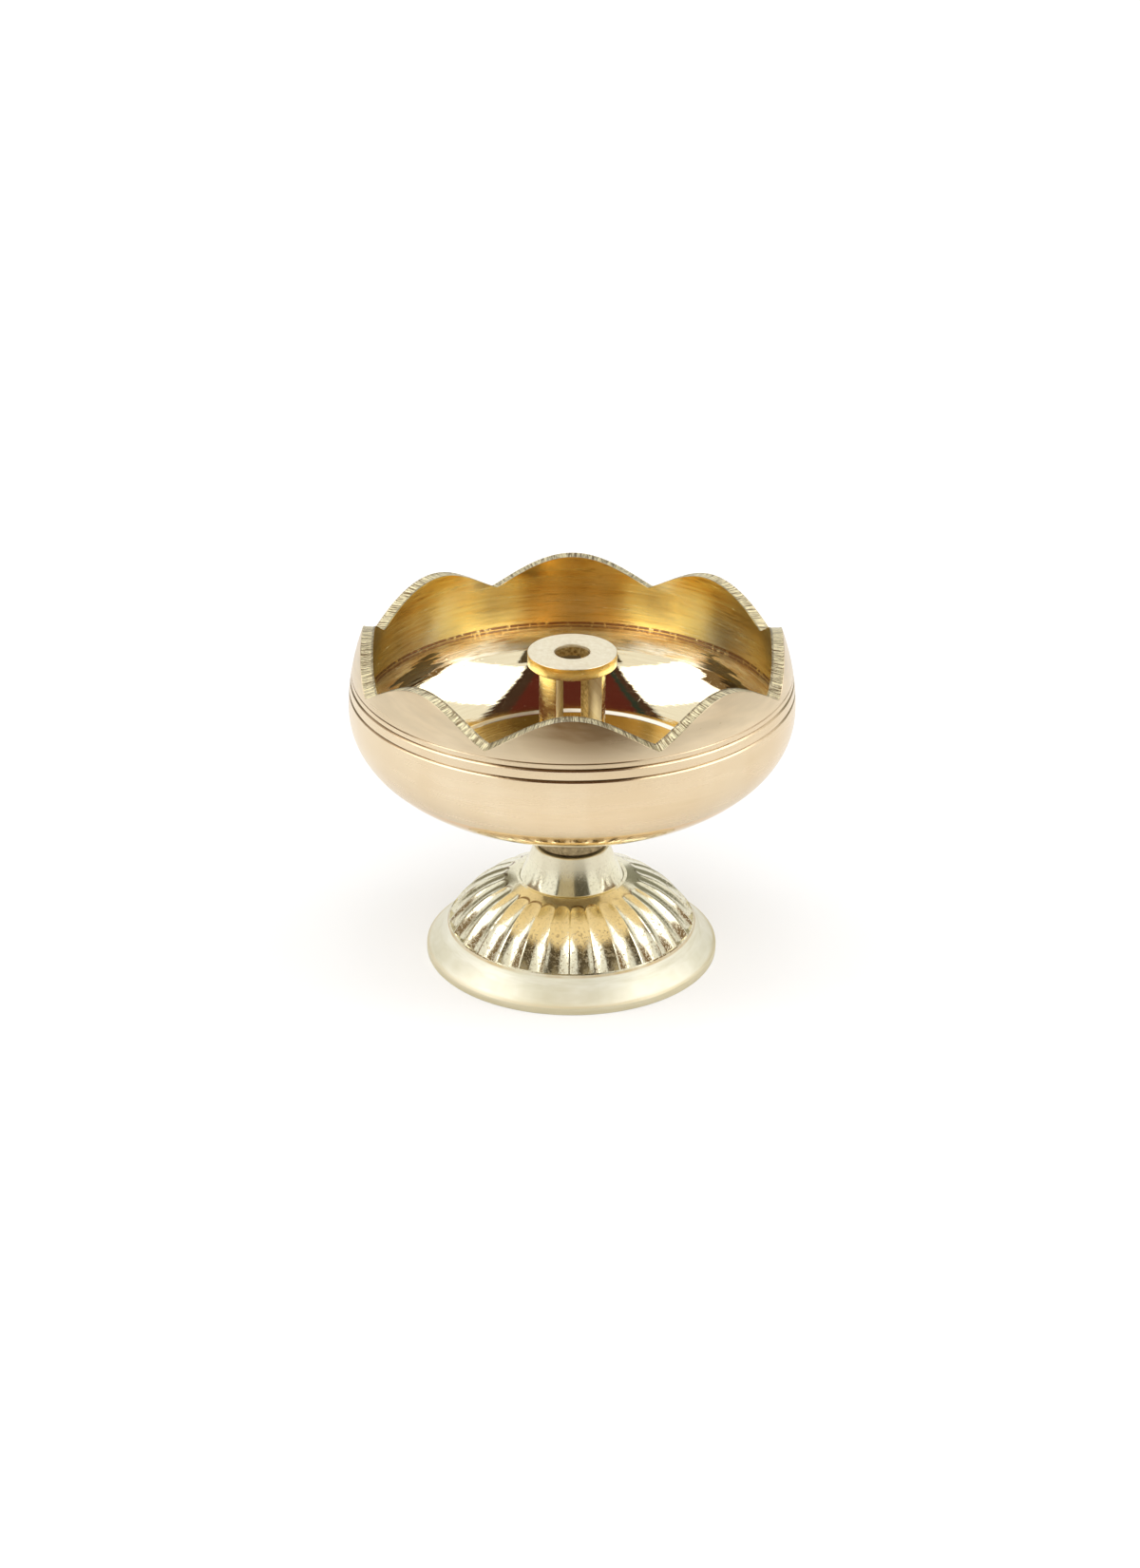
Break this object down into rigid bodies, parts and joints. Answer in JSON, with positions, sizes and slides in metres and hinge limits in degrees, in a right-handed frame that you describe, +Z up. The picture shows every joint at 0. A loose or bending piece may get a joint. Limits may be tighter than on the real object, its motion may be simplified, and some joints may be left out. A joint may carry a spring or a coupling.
{
  "type": "footed oil lamp",
  "caption": "Small footed brass oil lamp: a round bowl with a petalled rim, a windowed wick holder standing in its middle, on a fluted domed pedestal.",
  "frame": {"origin": "centre of the foot's underside, on the surface the lamp stands on", "axes": "+Z up along the lamp's axis, -Y towards the front, through the middle of one petal, +X to the right seen from the front"},
  "size_m": [0.0748, 0.0748, 0.0588],
  "materials": {
    "pedestal_brass": "turned and polished pale brass, flutes bright, foot satin",
    "bowl_brass": "satin-brushed outside, brushed and polished inside, rough filed rim",
    "holder_brass": "turned outside, rough as cast in the bore and on the window walls"
  },
  "bodies": {
    "pedestal": {"pedestal": "pedestal_brass"},
    "bowl": {"bowl": "bowl_brass"},
    "wick_holder": {"wick_holder": "holder_brass"}
  },
  "joints": [
    {"name": "bowl_lift", "type": "slide", "parent": "pedestal", "child": "bowl", "axis": [0, 0, 1], "range_m": [0, 0.012]},
    {"name": "wick_holder_lift", "type": "slide", "parent": "bowl", "child": "wick_holder", "axis": [0, 0, 1], "range_m": [0, 0.038]}
  ]
}
